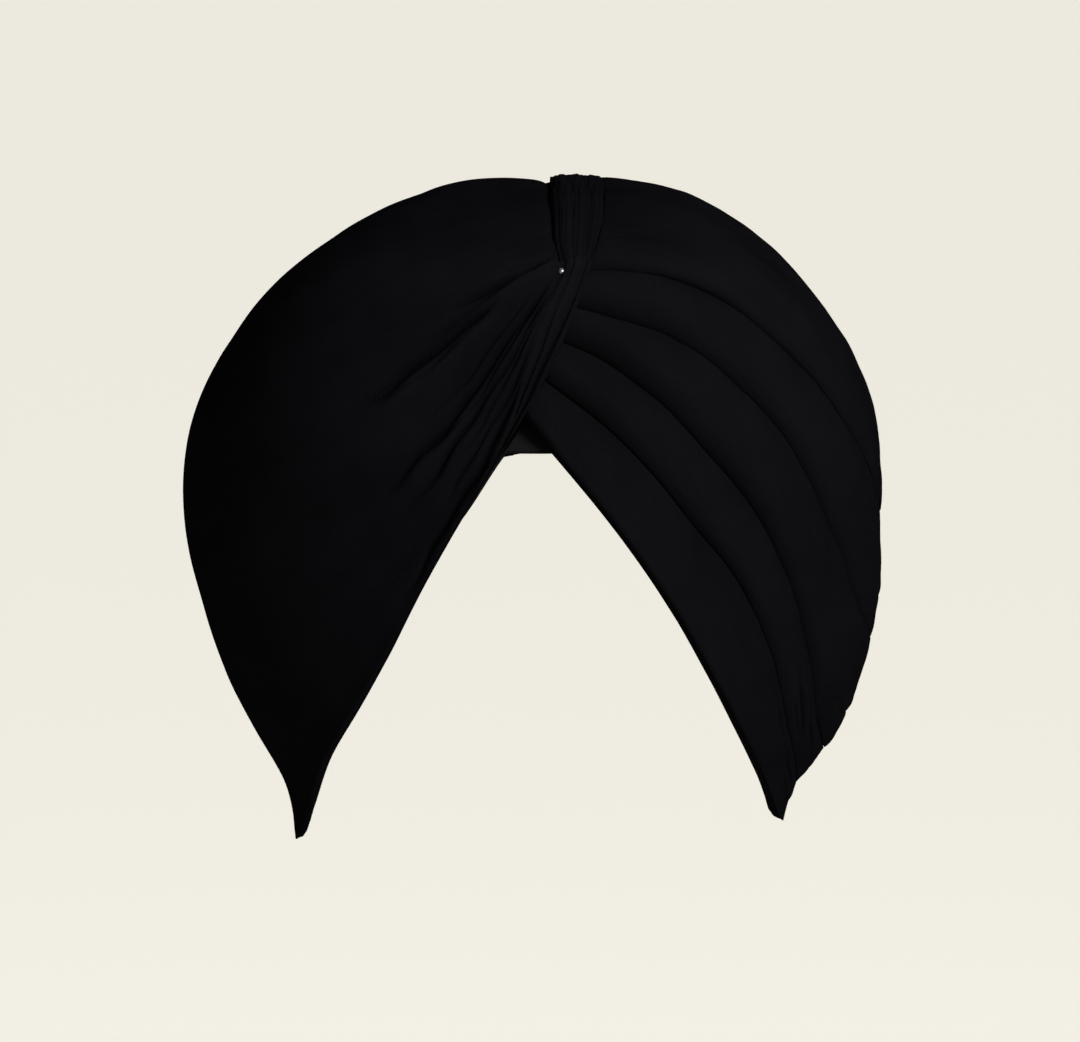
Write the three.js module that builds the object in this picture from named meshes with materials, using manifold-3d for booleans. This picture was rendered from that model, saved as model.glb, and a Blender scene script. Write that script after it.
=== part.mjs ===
// Pagri turban: a long black cotton cloth wound round the head, in its worn form, hollow for the head.
// Millimetres. +X is the wearer's left, -Y the front, +Z up. The origin is the seat, the top of the hollow.
import * as THREE from 'three';
import Module from 'manifold-3d';
import { mergeVertices } from 'three/addons/utils/BufferGeometryUtils.js';

// Hollow for the head
const headWidth = 154;
const headDepth = 198;
const headHeight = 85; // seat down to the head's widest level
const headTaper = 0.012; // how much nearer the hollow's wall comes for each millimetre below that level
const headRoundness = 2.2; // 2 is an ellipse, more is fuller at the shoulders

// Walls of wound cloth at the widest level and over the crown
const capThickness = 2.5;
const clothGap = 0.6;
const rightWall = 41;
const leftWall = 37.5;
const frontWall = 16;
const backWall = 38;
const crownWall = 17;
const edgeThickness = 5;
const tipThickness = 10.5;
const tipSpread = 20; // degrees round each tip over which the edge thins again
const edgeHeight = 86; // height above the lower edge at which the wall is fully thick
const edgeSwell = 1.15;
const outlineRoundness = 2.25;
const crownRoundness = 2;
const roundingElevations = { from: 30, to: 85 };

// Levels of the lower edge, above or below the head's widest level
const foreheadLevel = 24.9;
const leftTipLevel = -109;
const rightTipLevel = -116;
const napeLevel = 1;
const capRise = 8; // the cap's rim over the wraps' lower edge, away from the forehead
const capRiseTurns = { from: 8, to: 26 };

// Folds, hem and gathers
const foldStep = 2.6;
const foldRadius = 2.4;
const sideFoldShare = 0.4; // how much of a fold's relief is left at the sides, where the cloth is tight
const foldLean = 5; // degrees by which a fold's joint climbs on its way in to the head
const hemLean = 3; // degrees by which the layers run on under the right wrap
const lapLength = 9;
const hemWidth = 8;
const hemDepth = 1.6;
const bandRibs = 4;
const bandRibDepth = 1.1;
const bandEdgeWidth = 2;
const pleatDepth = 3.4;
const pleatWidth = 3.6;

// Pin
const pinHeadRadius = 1.8;
const pinShaftRadius = 0.6;
const pinLength = 11;
const pinClearance = 0.3;
const pinAzimuth = 4.1;
const pinElevation = 38.2;
const pinNeckTurn = 60; // degrees below the head's middle at which it meets the shaft
const pinSides = 10;

// Outside of the wound cloth: radius as a share of the ellipse through the walls, by elevation
const outlineTable = [
  { elevation: -60, right: 0.620, left: 0.680, front: 0.636, back: 0.614 },
  { elevation: -40, right: 0.855, left: 0.945, front: 0.883, back: 0.843 },
  { elevation: -20, right: 0.957, left: 1, front: 0.948, back: 0.960 },
  { elevation: 0, right: 1, left: 1, front: 1, back: 1 },
  { elevation: 16, right: 0.995, left: 1.005, front: 1.150, back: 1.018 },
  { elevation: 35, right: 0.986, left: 1.013, front: 1.367, back: 1.039 },
  { elevation: 47, right: 0.991, left: 1.028, front: 1.217, back: 1.024 },
  { elevation: 58, right: 1.002, left: 1.036, front: 1.107, back: 1.015 },
  { elevation: 65, right: 1.002, left: 1.038, front: 1.064, back: 1.008 },
  { elevation: 76, right: 1.010, left: 1.031, front: 1.021, back: 1 },
  { elevation: 90, right: 1, left: 1, front: 1, back: 1 },
];

// Lower edge in front: turn is degrees from the notch, the shares run from the forehead level to the tip.
const notchAzimuth = -1.6;
const frontEdgeTable = [
  { turn: 0, left: -0.072, right: -0.071 },
  { turn: 6, left: 0.018, right: 0.029 },
  { turn: 12, left: 0.113, right: 0.151 },
  { turn: 20, left: 0.246, right: 0.309 },
  { turn: 30, left: 0.413, right: 0.499 },
  { turn: 40, left: 0.573, right: 0.640 },
  { turn: 52, left: 0.730, right: 0.762 },
  { turn: 66, left: 0.862, right: 0.906 },
  { turn: 82, left: 0.978, right: 0.992 },
  { turn: 95, left: 1.000, right: 1.000 },
];

// Lower edge behind the ears: the share runs from the nape level to the tip.
const tipTurn = 95;
const backEdgeTable = [
  { turn: 95, share: 1.00 },
  { turn: 104, share: 0.95 },
  { turn: 114, share: 0.83 },
  { turn: 127, share: 0.60 },
  { turn: 142, share: 0.34 },
  { turn: 157, share: 0.14 },
  { turn: 170, share: 0.03 },
  { turn: 184, share: 0.00 },
];

// Fold lines of the wearer's left: elevation of the lower edge of layers 2 to 5 by azimuth, in degrees.
const foldTable = [
  { azimuth: 0, layer_2: 25.9, layer_3: 30.5, layer_4: 34.5, layer_5: 38.6 },
  { azimuth: 10, layer_2: 19.4, layer_3: 27.3, layer_4: 32.7, layer_5: 38.4 },
  { azimuth: 20, layer_2: 9.8, layer_3: 20.7, layer_4: 29.7, layer_5: 37.1 },
  { azimuth: 30, layer_2: -1.3, layer_3: 11.5, layer_4: 23.9, layer_5: 33.4 },
  { azimuth: 40, layer_2: -11.5, layer_3: 1.7, layer_4: 16.2, layer_5: 27.7 },
  { azimuth: 50, layer_2: -24.0, layer_3: -11.0, layer_4: 5.9, layer_5: 21.0 },
  { azimuth: 60, layer_2: -36.0, layer_3: -25.6, layer_4: -5.3, layer_5: 12.8 },
  { azimuth: 75, layer_2: -46.0, layer_3: -39.0, layer_4: -20.0, layer_5: 0.5 },
  { azimuth: 90, layer_2: -50.0, layer_3: -43.5, layer_4: -26.0, layer_5: -5.0 },
  { azimuth: 112, layer_2: -43.0, layer_3: -35.5, layer_4: -21.0, layer_5: -3.5 },
  { azimuth: 125, layer_2: -32.5, layer_3: -25.0, layer_4: -12.0, layer_5: 1.5 },
  { azimuth: 140, layer_2: -16.5, layer_3: -10.0, layer_4: -0.5, layer_5: 10.0 },
  { azimuth: 160, layer_2: -0.5, layer_3: 5.0, layer_4: 11.5, layer_5: 19.0 },
  { azimuth: 190, layer_2: 5.5, layer_3: 11.0, layer_4: 17.0, layer_5: 24.0 },
];

// Hem of the right wrap: azimuth of the diagonal in front and of the one behind, by elevation.
const frontHemTable = [
  { elevation: 12.7, azimuth: -6.8 },
  { elevation: 16.8, azimuth: -4.1 },
  { elevation: 21.2, azimuth: -1.1 },
  { elevation: 24.7, azimuth: 1.4 },
  { elevation: 30.3, azimuth: 4.9 },
  { elevation: 35.1, azimuth: 7.5 },
  { elevation: 41.0, azimuth: 10.2 },
  { elevation: 48.0, azimuth: 11.8 },
];
const backHemTable = [
  { elevation: -12, azimuth: 188 },
  { elevation: -3, azimuth: 186 },
  { elevation: 5, azimuth: 183.5 },
  { elevation: 13, azimuth: 180.5 },
  { elevation: 21, azimuth: 177 },
  { elevation: 34, azimuth: 170 },
  { elevation: 42, azimuth: 166 },
];

// Crown band: lean of its two edges off the middle plane, by the arch over the crown, in degrees
const bandTable = [
  { arch: 39.5, leftEdge: 7.4, rightEdge: 2.8 },
  { arch: 46, leftEdge: 8.8, rightEdge: 2.1 },
  { arch: 57, leftEdge: 10.3, rightEdge: 2.1 },
  { arch: 75, leftEdge: 11.6, rightEdge: 2.1 },
  { arch: 100, leftEdge: 12.4, rightEdge: 2.0 },
  { arch: 125, leftEdge: 12.0, rightEdge: -1.5 },
  { arch: 146, leftEdge: 9.0, rightEdge: -5.0 },
];
const bandFrontAngle = { left: 41.4, right: 39.6 };
const bandBackAngle = { left: 146, right: 143 };

// Gathered pleats of the right wrap: grooves between two directions (azimuth, elevation), shares of a pleat
const pleatTable = [
  { from: [-1.2, 38.6], to: [-24.0, 27.0], depth: 0.94, width: 1.00 },
  { from: [-8.0, 33.0], to: [-32.0, 18.0], depth: 0.82, width: 1.00 },
  { from: [-2.4, 30.4], to: [-28.0, 2.5], depth: 1.00, width: 1.00 },
  { from: [-1.6, 24.0], to: [-24.0, -3.0], depth: 0.82, width: 0.94 },
  { from: [-9.0, 13.5], to: [-25.0, -13.0], depth: 0.76, width: 0.94 },
  { from: [-176, 12.0], to: [-150, -6.0], depth: 0.65, width: 1.25 },
  { from: [-180, 20.0], to: [-150, 10.0], depth: 0.65, width: 1.25 },
];
const pleatFadeFrom = 0.55;

const radians = THREE.MathUtils.degToRad;
const degrees = THREE.MathUtils.radToDeg;
const { lerp, clamp, smoothstep } = THREE.MathUtils;
const centre = new THREE.Vector3(0, 0, -headHeight);
const wrapClearance = capThickness + clothGap;
const reach = {
  right: headWidth / 2 + wrapClearance + rightWall,
  left: headWidth / 2 + wrapClearance + leftWall,
  front: headDepth / 2 + wrapClearance + frontWall,
  back: headDepth / 2 + wrapClearance + backWall,
  crown: headHeight + wrapClearance + crownWall,
};

// A smooth curve through one column of a table, by its first column, without overshoot.
function curveThrough(rows, by, column) {
  const at = rows.map((row) => row[by]);
  const value = rows.map((row) => row[column]);
  const rise = at.slice(1).map((next, i) => (value[i + 1] - value[i]) / (next - at[i]));
  const slope = at.map((_, i) => {
    if (i === 0) return rise[0];
    if (i === rise.length) return rise[i - 1];
    const product = rise[i - 1] * rise[i];
    return product > 0 ? (2 * product) / (rise[i - 1] + rise[i]) : 0;
  });
  return (x) => {
    const place = clamp(x, at[0], at[at.length - 1]);
    const i = Math.min(Math.max(at.findIndex((a) => a > place) - 1, 0), at.length - 2);
    const j = place >= at[at.length - 1] ? at.length - 2 : i;
    const span = at[j + 1] - at[j];
    const t = (place - at[j]) / span;
    const a = value[j];
    const b = value[j + 1];
    const bendIn = slope[j] * span - (b - a);
    const bendOut = -slope[j + 1] * span + (b - a);
    return lerp(a, b, t) + t * (1 - t) * (bendIn * (1 - t) + bendOut * t);
  };
}

function columns(rows, by, names) {
  return Object.fromEntries(names.map((name) => [name, curveThrough(rows, by, name)]));
}

const outline = columns(outlineTable, 'elevation', ['right', 'left', 'front', 'back']);
const frontEdge = columns(frontEdgeTable, 'turn', ['left', 'right']);
const backEdge = curveThrough(backEdgeTable, 'turn', 'share');
const foldLine = columns(foldTable, 'azimuth', ['layer_2', 'layer_3', 'layer_4', 'layer_5']);
const frontHem = curveThrough(frontHemTable, 'elevation', 'azimuth');
const backHem = curveThrough(backHemTable, 'elevation', 'azimuth');
const bandEdge = columns(bandTable, 'arch', ['leftEdge', 'rightEdge']);

// Directions about the centre of the head's widest level
function towards(azimuth, elevation) {
  const level = Math.cos(radians(elevation));
  const turn = radians(azimuth);
  return new THREE.Vector3(level * Math.sin(turn), -level * Math.cos(turn), Math.sin(radians(elevation)));
}

function overCrown(lean, arch) {
  const across = Math.cos(radians(lean));
  return new THREE.Vector3(
    Math.sin(radians(lean)),
    -across * Math.cos(radians(arch)),
    across * Math.sin(radians(arch)),
  );
}

const elevationOf = (direction) => degrees(Math.asin(clamp(direction.z, -1, 1)));
const azimuthOf = (direction) => Math.atan2(direction.x, -direction.y);

function ovalRadius(sideways, lengthways, azimuth, roundness) {
  const across = (Math.abs(Math.sin(azimuth)) / sideways) ** roundness;
  const along = (Math.abs(Math.cos(azimuth)) / lengthways) ** roundness;
  return (across + along) ** (-1 / roundness);
}

// Radius of the head's surface, moved out by a clearance
function headRadius(direction, clearance) {
  const level = ovalRadius(headWidth / 2 + clearance, headDepth / 2 + clearance, azimuthOf(direction), 2);
  const flat = Math.hypot(direction.x, direction.y);
  if (direction.z < 0) return level / (1 - (headTaper * direction.z) / flat) / flat;
  const top = headHeight + clearance;
  return ((flat / level) ** headRoundness + (direction.z / top) ** headRoundness) ** (-1 / headRoundness);
}

function pointAt(direction, radius) {
  return direction.clone().multiplyScalar(radius).add(centre);
}

// Direction of the point of the wraps' inner surface at a level from the head's widest one
function atLevel(azimuth, level) {
  const turn = radians(azimuth);
  const widest = ovalRadius(headWidth / 2 + wrapClearance, headDepth / 2 + wrapClearance, turn, 2);
  const up = Math.max(level, 0) / (headHeight + wrapClearance);
  const rounded = widest * (1 - up ** headRoundness) ** (1 / headRoundness);
  const out = rounded + headTaper * Math.min(level, 0);
  return new THREE.Vector3(out * Math.sin(turn), -out * Math.cos(turn), level).normalize();
}

// Degrees round from the notch, below zero towards the wearer's right
const fromNotch = (azimuth) => THREE.MathUtils.euclideanModulo(azimuth - notchAzimuth + 180, 360) - 180;

// Level of the lower edge
function edgeLevel(azimuth) {
  const side = fromNotch(azimuth) < 0 ? 'right' : 'left';
  const tipLevel = side === 'left' ? leftTipLevel : rightTipLevel;
  const turn = Math.abs(fromNotch(azimuth));
  if (turn < tipTurn) return lerp(foreheadLevel, tipLevel, frontEdge[side](turn));
  return lerp(napeLevel, tipLevel, backEdge(turn));
}

function edgeThicknessAt(azimuth) {
  const away = (Math.abs(fromNotch(azimuth)) - tipTurn) / tipSpread;
  return lerp(edgeThickness, tipThickness, Math.exp(-(away ** 2)));
}

const rimLevel = (azimuth) => Math.min(edgeLevel(azimuth), foreheadLevel);
const rimCount = 180;
const rimPoints = Array.from({ length: rimCount }, (_, i) => {
  const azimuth = (360 * i) / rimCount;
  const direction = atLevel(azimuth, rimLevel(azimuth));
  return pointAt(direction, headRadius(direction, wrapClearance));
});

// Outside of the cloth before folds and pleats: thin at the lower edge, swelling to the full wall above it
function wrapRadius(direction) {
  const elevation = elevationOf(direction);
  const azimuth = azimuthOf(direction);
  const side = direction.x < 0 ? 'right' : 'left';
  const end = direction.y < 0 ? 'front' : 'back';
  const flat = Math.hypot(direction.x, direction.y);
  const shares = { side: outline[side](elevation), end: outline[end](elevation) };
  const rise = Math.max(direction.z, 0) / reach.crown;
  const across = shares.side / Math.hypot(flat / reach[side], rise);
  const along = shares.end / Math.hypot(flat / reach[end], rise);
  const rounding = smoothstep(elevation, roundingElevations.from, roundingElevations.to);
  const roundness = lerp(outlineRoundness, crownRoundness, rounding);
  const outside = ovalRadius(across, along, azimuth, roundness);
  const inside = headRadius(direction, wrapClearance);
  const start = pointAt(direction, inside);
  const height = Math.min(...rimPoints.map((point) => point.distanceTo(start)));
  const swell = Math.sin((Math.PI / 2) * Math.min(height / edgeHeight, 1)) ** edgeSwell;
  const edge = edgeThicknessAt(degrees(azimuth));
  return inside + lerp(edge, Math.max(outside - inside, edge), swell);
}

// Folds stand out in front and at the back, and lie nearly flat at the sides
const foldStrength = (direction) => lerp(1, sideFoldShare, Math.sin(azimuthOf(direction)) ** 4);

// Shape of a fold's rounded lip and of the cloth that runs on under the next fold
function lapRelief(folded, covered) {
  const lip = Math.min(...folded, foldRadius);
  const rounding = foldRadius - Math.sqrt(foldRadius ** 2 - (foldRadius - lip) ** 2);
  const proud = Math.max(0, ...folded.map((distance) => Math.exp(-distance / lapLength)));
  const tucked = Math.max(0, ...covered.map((distance) => Math.exp(-distance / lapLength)));
  return (foldStep / 2) * (proud - tucked) - rounding;
}

function pleatRelief(direction, radius) {
  return pleatTable.reduce((sum, pleat) => {
    const line = new THREE.Line3(towards(...pleat.from), towards(...pleat.to));
    const along = line.closestPointToPointParameter(direction, true);
    const nearest = line.at(along, new THREE.Vector3()).normalize();
    const distance = nearest.distanceTo(direction) * radius;
    const fade = 1 - smoothstep(along, pleatFadeFrom, 1);
    const groove = Math.exp(-((distance / (pleatWidth * pleat.width)) ** 2));
    return sum - pleatDepth * pleat.depth * fade * groove;
  }, 0);
}

// A closed solid from two grids of points, the outside and the inside, joined along their rims
function shellBetween(outside, inside) {
  const rows = outside.length;
  const across = outside[0].length;
  const positions = [...outside.flat(), ...inside.flat()].flatMap((point) => point.toArray());
  const outer = (i, j) => i * across + j;
  const inner = (i, j) => rows * across + outer(i, j);
  const indices = [];
  const quad = (a, b, c, d) => indices.push(a, b, c, a, c, d);
  for (let i = 0; i < rows - 1; i += 1) {
    for (let j = 0; j < across - 1; j += 1) {
      quad(outer(i, j), outer(i + 1, j), outer(i + 1, j + 1), outer(i, j + 1));
      quad(inner(i, j), inner(i, j + 1), inner(i + 1, j + 1), inner(i + 1, j));
    }
    quad(outer(i, 0), inner(i, 0), inner(i + 1, 0), outer(i + 1, 0));
    quad(outer(i, across - 1), outer(i + 1, across - 1), inner(i + 1, across - 1), inner(i, across - 1));
  }
  for (let j = 0; j < across - 1; j += 1) {
    quad(outer(0, j), outer(0, j + 1), inner(0, j + 1), inner(0, j));
    quad(outer(rows - 1, j), inner(rows - 1, j), inner(rows - 1, j + 1), outer(rows - 1, j + 1));
  }
  const geometry = new THREE.BufferGeometry();
  geometry.setAttribute('position', new THREE.Float32BufferAttribute(positions, 3));
  geometry.setIndex(indices);
  return geometry;
}

function slerp(from, to, share) {
  const angle = from.angleTo(to);
  if (angle < 1e-6) return from.clone();
  const a = Math.sin((1 - share) * angle) / Math.sin(angle);
  const b = Math.sin(share * angle) / Math.sin(angle);
  return from.clone().multiplyScalar(a).addScaledVector(to, b);
}

// Directions of a patch between four border curves, each a function of its own share
function patchDirections(borders, alongs, acrosses) {
  const { low, high, start, end } = borders;
  const bend = (border, at, across) => border(across).sub(slerp(low(at), high(at), across));
  return alongs.map((along) => acrosses.map((across) => {
    const direction = slerp(low(along), high(along), across);
    direction.addScaledVector(bend(start, 0, across), (1 - along) ** 2);
    direction.addScaledVector(bend(end, 1, across), along ** 2);
    return direction.normalize();
  }));
}

// Draws the borders of a grid of directions in by half the gap between neighbours
function drawIn(grid, openLow) {
  const last = grid.length - 1;
  const top = grid[0].length - 1;
  const shift = clothGap / 2 / reach.front;
  const moved = grid.map((row) => row.map((direction) => direction.clone()));
  const pull = (i, j, towardsRow, towardsColumn) => {
    const way = grid[towardsRow][towardsColumn].clone().sub(grid[i][j]).normalize();
    moved[i][j].addScaledVector(way, shift);
  };
  for (let i = 0; i <= last; i += 1) {
    if (!openLow) pull(i, 0, i, 1);
    pull(i, top, i, top - 1);
  }
  for (let j = 0; j <= top; j += 1) {
    pull(0, j, 1, j);
    pull(last, j, last - 1, j);
  }
  moved.forEach((row) => row.forEach((direction) => direction.normalize()));
  return moved;
}

// One wound piece. Each border is a function of (share along it, depth from 0 outside to 1 at the head).
function woundPiece({ borders, alongs, acrosses, folded, openLow, relief = () => 0 }) {
  const bordersAt = (depth) => Object.fromEntries(
    Object.entries(borders).map(([name, border]) => [name, (share) => border(share, depth)]),
  );
  const plain = patchDirections(bordersAt(0), alongs, acrosses);
  const outer = drawIn(plain, openLow);
  const inner = drawIn(patchDirections(bordersAt(1), alongs, acrosses), openLow);
  const last = plain.length - 1;
  const top = plain[0].length - 1;
  const outside = outer.map((row, i) => row.map((direction, j) => {
    const radius = wrapRadius(direction);
    const distance = {
      low: plain[i][j].angleTo(plain[i][0]) * radius,
      high: plain[i][j].angleTo(plain[i][top]) * radius,
      start: plain[i][j].angleTo(plain[0][j]) * radius,
      end: plain[i][j].angleTo(plain[last][j]) * radius,
    };
    const names = Object.keys(distance);
    const lips = names.filter((name) => folded.includes(name)).map((name) => distance[name]);
    const tucks = names.filter((name) => !folded.includes(name)).map((name) => distance[name]);
    const lap = lapRelief(lips, tucks) * foldStrength(direction);
    return pointAt(direction, radius + lap + relief(direction, radius, distance, acrosses[j]));
  }));
  const atHead = (direction) => pointAt(direction, headRadius(direction, wrapClearance));
  const inside = inner.map((row) => row.map(atHead));
  return shellBetween(outside, inside);
}

const evenly = (count) => Array.from({ length: count + 1 }, (_, i) => i / count);

// Elevations at which the fold lines cross the two hems, and at which the front hem reaches the lower edge
const frontCrossAngle = {
  layer_1: 19.7,
  layer_2: 24.9,
  layer_3: 29.5,
  layer_4: 33.4,
  layer_5: 38.4,
  band: 41,
};
const backCrossAngle = {
  layer_1: 0.6,
  layer_2: 6,
  layer_3: 11.5,
  layer_4: 17.5,
  layer_5: 24,
  band: 34,
};
const frontFootElevation = 12.7;

// A hem's joint leans in between its free foot and the crown band, and runs straight in at both ends
function leanAt(elevation, crossing) {
  const foot = smoothstep(elevation, crossing.layer_1, crossing.layer_3);
  const head = smoothstep(elevation, crossing.layer_4, crossing.band);
  return hemLean * foot * (1 - head);
}

function frontHemAt(elevation, depth) {
  return { azimuth: frontHem(elevation) - leanAt(elevation, frontCrossAngle) * depth, elevation };
}

function backHemAt(elevation, depth) {
  return { azimuth: backHem(elevation) + leanAt(elevation, backCrossAngle) * depth, elevation };
}

// Lower border of one of the left layers, from the front hem round to the back hem
function foldBorder(name) {
  return (share, depth) => {
    const first = frontHemAt(frontCrossAngle[name], depth);
    const last = backHemAt(backCrossAngle[name], depth);
    const azimuth = lerp(first.azimuth, last.azimuth, share);
    const outside = lerp(frontHem(first.elevation), backHem(last.elevation), share);
    if (name === 'layer_1') return atLevel(azimuth, edgeLevel(outside));
    const line = foldLine[name];
    const settleFront = first.elevation - line(frontHem(first.elevation));
    const settleBack = last.elevation - line(backHem(last.elevation));
    const climb = foldLean * depth * Math.sin(Math.PI * share);
    return towards(azimuth, line(outside) + lerp(settleFront, settleBack, share) + climb);
  };
}

// The crown band's edge on the wearer's left or right
function bandBorder(side) {
  const front = bandFrontAngle[side];
  const back = bandBackAngle[side];
  const lean = bandEdge[`${side}Edge`];
  return (share) => overCrown(lean(lerp(front, back, share)), lerp(front, back, share));
}

const cornerPower = 8;

// Runs a border through the corners that its neighbours already fix
function pinnedBorder(border, first, last) {
  return (share, depth) => {
    const direction = border(share, depth);
    const startShift = first(depth).sub(border(0, depth));
    const endShift = last(depth).sub(border(1, depth));
    direction.addScaledVector(startShift, (1 - share) ** cornerPower);
    return direction.addScaledVector(endShift, share ** cornerPower).normalize();
  };
}

const frontBandCorner = () => towards(frontHem(frontCrossAngle.band), frontCrossAngle.band);
const backBandCorner = () => towards(backHem(backCrossAngle.band), backCrossAngle.band);
const bandLeft = pinnedBorder(bandBorder('left'), frontBandCorner, backBandCorner);
const bandRight = bandBorder('right');

function hemBorder(hemAt, crossing, low, high) {
  return (share, depth) => {
    const place = hemAt(lerp(crossing[low], crossing[high], share), depth);
    return towards(place.azimuth, place.elevation);
  };
}

// Stations from the front round to the back, closer together in front, where the gathers are
const stationPower = 1.4;
const frontToBack = evenly(34).map((share) => share ** stationPower);
const backToFront = frontToBack.map((share) => 1 - share).reverse();
const layerAcrosses = [0, 0.06, 0.18, 0.45, 0.75, 1];
const topLayerAcrosses = [0, 0.03, 0.09, 0.21, 0.36, 0.52, 0.68, 0.84, 1];

function leftLayer(name, next, acrosses) {
  const low = foldBorder(name);
  const high = next === 'band' ? bandLeft : foldBorder(next);
  const frontEnd = hemBorder(frontHemAt, frontCrossAngle, name, next);
  const backEnd = hemBorder(backHemAt, backCrossAngle, name, next);
  return woundPiece({
    borders: {
      low,
      high,
      start: pinnedBorder(frontEnd, (depth) => low(0, depth), (depth) => high(0, depth)),
      end: pinnedBorder(backEnd, (depth) => low(1, depth), (depth) => high(1, depth)),
    },
    alongs: frontToBack,
    acrosses,
    folded: ['low'],
    openLow: name === 'layer_1',
  });
}

const acrossBandEnd = [1, 2, 3].map((step) => step / 3);
const bandEndShare = 0.04;
const bandEnd = (at) => (share) => slerp(bandLeft(at), bandRight(at), share).normalize();

// The right wrap's upper border: the band's back end, its edge over the crown, and its front end
function aroundBand(share) {
  if (share < bandEndShare) return bandEnd(1)(share / bandEndShare);
  if (share > 1 - bandEndShare) return bandEnd(0)((1 - share) / bandEndShare);
  return bandRight(1 - (share - bandEndShare) / (1 - 2 * bandEndShare));
}

function rightWrap() {
  const frontFoot = frontFootElevation;
  const backFoot = backCrossAngle.layer_1;
  const hemAt = (hem, foot, top, turnBack) => (share, depth) => {
    const place = hem(lerp(foot, top, share), depth);
    return towards(place.azimuth - turnBack, place.elevation);
  };
  const low = (share, depth) => {
    const start = backHemAt(backFoot, depth).azimuth - 360;
    const azimuth = lerp(start, frontHemAt(frontFoot, depth).azimuth, share);
    const outside = lerp(backHem(backFoot) - 360, frontHem(frontFoot), share);
    return atLevel(azimuth, edgeLevel(outside));
  };
  const backHemBorder = hemAt(backHemAt, backFoot, backCrossAngle.band, 360);
  const frontHemBorder = hemAt(frontHemAt, frontFoot, frontCrossAngle.band, 0);
  const besideBand = backToFront.map((share) => lerp(bandEndShare, 1 - bandEndShare, share));
  const alongs = [
    0,
    ...acrossBandEnd.slice(0, -1).map((share) => share * bandEndShare),
    ...besideBand,
    ...acrossBandEnd.map((share) => 1 - (1 - share) * bandEndShare),
  ];
  return woundPiece({
    borders: {
      low,
      high: aroundBand,
      start: pinnedBorder(backHemBorder, (d) => low(0, d), () => aroundBand(0)),
      end: pinnedBorder(frontHemBorder, (d) => low(1, d), () => aroundBand(1)),
    },
    alongs,
    acrosses: evenly(24),
    folded: ['low', 'start', 'end'],
    openLow: true,
    relief: (direction, radius, distance) => {
      const crease = Math.exp(-(((distance.end - hemWidth) / (hemWidth / 3)) ** 2));
      const fade = smoothstep(distance.end, 0, hemWidth);
      return pleatRelief(direction, radius) * fade - hemDepth * crease;
    },
  });
}

function crownBand() {
  return woundPiece({
    borders: { low: bandLeft, high: bandRight, start: bandEnd(0), end: bandEnd(1) },
    alongs: frontToBack,
    acrosses: evenly(2 * bandRibs),
    folded: ['low', 'high', 'start'],
    openLow: false,
    relief: (direction, radius, distance, across) => {
      const valley = 0.5 + 0.5 * Math.cos(2 * Math.PI * bandRibs * across);
      return -bandRibDepth * valley * smoothstep(distance.low, 0, bandEdgeWidth);
    },
  });
}

// The cap against the head: a closed bowl of even thickness, its rim a little above the wraps' lower edge
function underTurban() {
  const around = 44;
  const up = 8;
  const rimRise = (azimuth) => {
    const turn = Math.abs(fromNotch(azimuth));
    return capRise * smoothstep(turn, capRiseTurns.from, capRiseTurns.to);
  };
  const surface = (clearance) => Array.from({ length: around + 1 }, (_, i) => {
    const azimuth = lerp(-180, 180, i / around);
    const rim = atLevel(azimuth, rimLevel(azimuth) + rimRise(azimuth));
    const pole = new THREE.Vector3(0, 0, 1);
    return evenly(up).map((share) => {
      const direction = slerp(rim, pole, share).normalize();
      return pointAt(direction, headRadius(direction, clearance));
    });
  });
  const geometry = shellBetween(surface(capThickness), surface(0));
  const index = geometry.getIndex().array;
  const seam = 12 * up;
  const open = Array.from(index).slice(0, index.length - seam);
  geometry.setIndex(open);
  return geometry;
}

// A pin with a round head, pushed in towards the head
function pinGeometry(clearance) {
  const reachIn = pinLength + clearance;
  const shaft = pinShaftRadius + clearance;
  const head = pinHeadRadius + clearance;
  const profile = [
    new THREE.Vector2(0, -reachIn),
    new THREE.Vector2(shaft, -reachIn),
    new THREE.Vector2(shaft, 0),
  ];
  const middle = head * Math.sin(radians(pinNeckTurn));
  for (const share of [0, 0.27, 0.53, 0.77]) {
    const angle = radians(lerp(-pinNeckTurn, 90, share));
    profile.push(new THREE.Vector2(head * Math.cos(angle), middle + head * Math.sin(angle)));
  }
  profile.push(new THREE.Vector2(0, middle + head));
  return new THREE.LatheGeometry(profile, pinSides);
}

function placePin(geometry) {
  const direction = towards(pinAzimuth, pinElevation);
  const seat = pointAt(direction, wrapRadius(direction));
  const turn = new THREE.Quaternion().setFromUnitVectors(new THREE.Vector3(0, 1, 0), direction);
  return geometry.applyQuaternion(turn).translate(...seat.toArray());
}

function welded(geometry) {
  const bare = new THREE.BufferGeometry();
  bare.setAttribute('position', geometry.getAttribute('position'));
  bare.setIndex(geometry.getIndex());
  const merged = mergeVertices(bare, 1e-4);
  const index = merged.getIndex().array;
  const kept = [];
  for (let i = 0; i < index.length; i += 3) {
    const [a, b, c] = index.slice(i, i + 3);
    if (a !== b && b !== c && c !== a) kept.push(a, b, c);
  }
  merged.setIndex(kept);
  return merged;
}

const wasm = await Module();
wasm.setup();

function solidOf(geometry) {
  const closed = welded(geometry);
  return new wasm.Manifold(new wasm.Mesh({
    numProp: 3,
    vertProperties: new Float32Array(closed.getAttribute('position').array),
    triVerts: new Uint32Array(closed.getIndex().array),
  }));
}

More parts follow.
